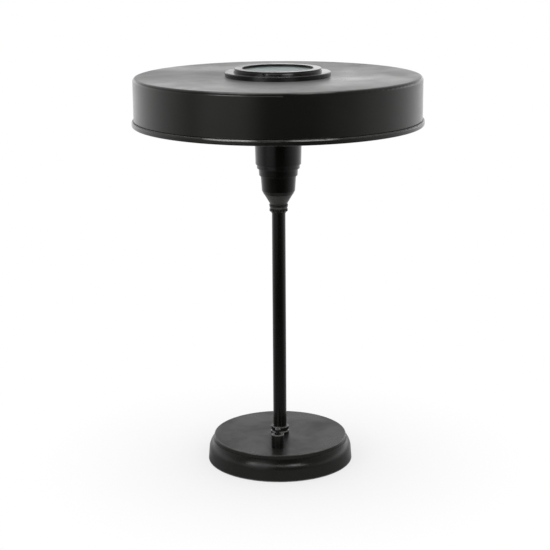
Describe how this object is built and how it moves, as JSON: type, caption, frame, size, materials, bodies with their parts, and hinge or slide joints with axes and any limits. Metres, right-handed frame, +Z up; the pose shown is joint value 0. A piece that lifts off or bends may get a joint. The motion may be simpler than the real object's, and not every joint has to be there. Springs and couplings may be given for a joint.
{
  "type": "table lamp",
  "caption": "Table lamp: flat drum shade with a round glass port in its top, stepped cup, slim pole, round stepped base with a small toggle switch.",
  "frame": {"origin": "centre of the base where the felt meets the table", "axes": "+Z up along the pole, -Y to the front, where the switch is, +X to the right seen from the front"},
  "size_m": [0.4054, 0.4054, 0.568],
  "materials": {
    "base_paint": "satin black enamel, slightly worn",
    "weight_iron": "raw casting",
    "cover_steel": "plain sheet",
    "felt": "dark felt",
    "screw_steel": "zinc plated",
    "black_screw": "blackened",
    "rubber": "matt",
    "pole_paint": "satin black enamel",
    "rod_steel": "zinc plated",
    "collar_paint": "satin black enamel",
    "ferrule_paint": "lighter blackened metal",
    "cup_paint": "satin black enamel",
    "holder_plastic": "moulded",
    "insulator_plastic": "moulded",
    "brass": "plain",
    "solder": "dull",
    "bulb_seal_plastic": "moulded",
    "bulb_cap_aluminium": "plain",
    "bulb_glass": "clear",
    "stem_glass": "clear",
    "filament": "coated",
    "shade_paint": "satin black enamel, softly mottled",
    "carrier_paint": "satin black",
    "port_paint": "satin black enamel",
    "port_glass": "frosted underside",
    "switch_paint": "satin black enamel",
    "lever_paint": "glossy black enamel",
    "block_plastic": "moulded",
    "neutral_sleeve": "insulated",
    "switched_sleeve": "insulated"
  },
  "bodies": {
    "lamp": {"base_shell": "base_paint", "base_weight": "weight_iron", "bottom_cover": "cover_steel", "felt_pad": "felt", "cover_screws": "screw_steel", "cord_grommet": "rubber", "pole": "pole_paint", "threaded_rod": "rod_steel", "rod_washer": "rod_steel", "rod_nut": "rod_steel", "foot_collar": "collar_paint", "top_collar": "collar_paint", "cone_ferrule": "ferrule_paint", "socket_cup": "cup_paint", "cup_washer": "rod_steel", "cup_nut": "rod_steel", "holder_cap": "holder_plastic", "holder_insulator": "insulator_plastic", "holder_terminals": "brass", "centre_contact": "brass", "screw_shell": "brass", "holder_skirt": "holder_plastic", "lower_shade_ring": "holder_plastic", "upper_shade_ring": "holder_plastic", "shade_shell": "shade_paint", "carrier_ring": "carrier_paint", "carrier_arms": "carrier_paint", "carrier_rivets": "screw_steel", "port_flange": "port_paint", "glass_gasket": "rubber", "port_glass": "port_glass", "port_ring": "port_paint", "lock_screws": "black_screw", "clamp_ring": "carrier_paint", "port_screws": "screw_steel", "switch_barrel": "switch_paint", "switch_nut": "rod_steel", "switch_cradle": "insulator_plastic", "switch_pin": "screw_steel", "switch_terminals": "brass", "terminal_block": "block_plastic", "neutral_lead": "neutral_sleeve", "switched_lead": "switched_sleeve", "feed_lead": "switched_sleeve"},
    "switch_toggle": {"switch_lever": "lever_paint", "switch_bridge": "brass"},
    "bulb_foot": {"bulb_tip": "solder", "bulb_seal": "bulb_seal_plastic"},
    "bulb_globe": {"bulb_cap": "bulb_cap_aluminium", "bulb_glass": "bulb_glass", "bulb_stem": "stem_glass", "bulb_filaments": "filament"}
  },
  "joints": [
    {"name": "switch_lever", "type": "hinge", "parent": "lamp", "child": "switch_toggle", "pos_m": [-0.0035, -0.059, 0.0512], "axis": [1, 0, 0], "range_deg": [0, 24]},
    {"name": "bulb_rise", "type": "slide", "parent": "lamp", "child": "bulb_foot", "axis": [0, 0, 1], "range_m": [0, 0.0092]},
    {"name": "bulb_turn", "type": "hinge", "parent": "bulb_foot", "child": "bulb_globe", "pos_m": [0, 0, 0.445], "axis": [0, 0, 1], "range_deg": [0, 900]}
  ],
  "couplings": [
    {"joint": "bulb_rise", "follows": "bulb_turn", "m_per_rad": 0.00057614}
  ]
}
